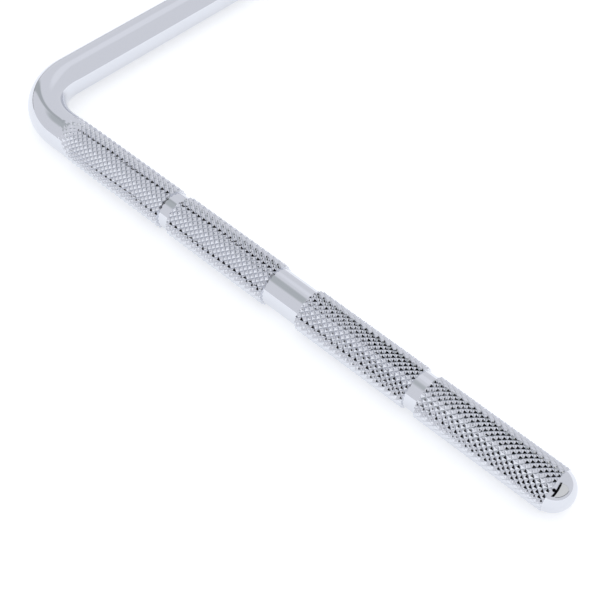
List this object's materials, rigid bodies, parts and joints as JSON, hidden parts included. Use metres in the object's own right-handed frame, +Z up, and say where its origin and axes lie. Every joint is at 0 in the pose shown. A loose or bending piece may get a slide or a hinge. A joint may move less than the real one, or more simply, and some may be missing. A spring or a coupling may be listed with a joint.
{
  "type": "knurled l-rod",
  "caption": "L-shaped round steel rod: a long leg with diamond-knurled bands, turned grooves and a domed end, bent to a plain smooth leg.",
  "frame": {"origin": "on the ground plane, under the middle of the bounding box, with the rod lying flat", "axes": "+X along the knurled leg towards its domed end, +Y along the plain leg towards its flat end, +Z up, square to the plane of the L"},
  "size_m": [0.1716, 0.1252, 0.0105],
  "materials": {
    "chrome": "bright chrome plate over a turned, knurled and bent steel bar"
  },
  "bodies": {
    "root": {"l_rod": "chrome"}
  },
  "joints": []
}
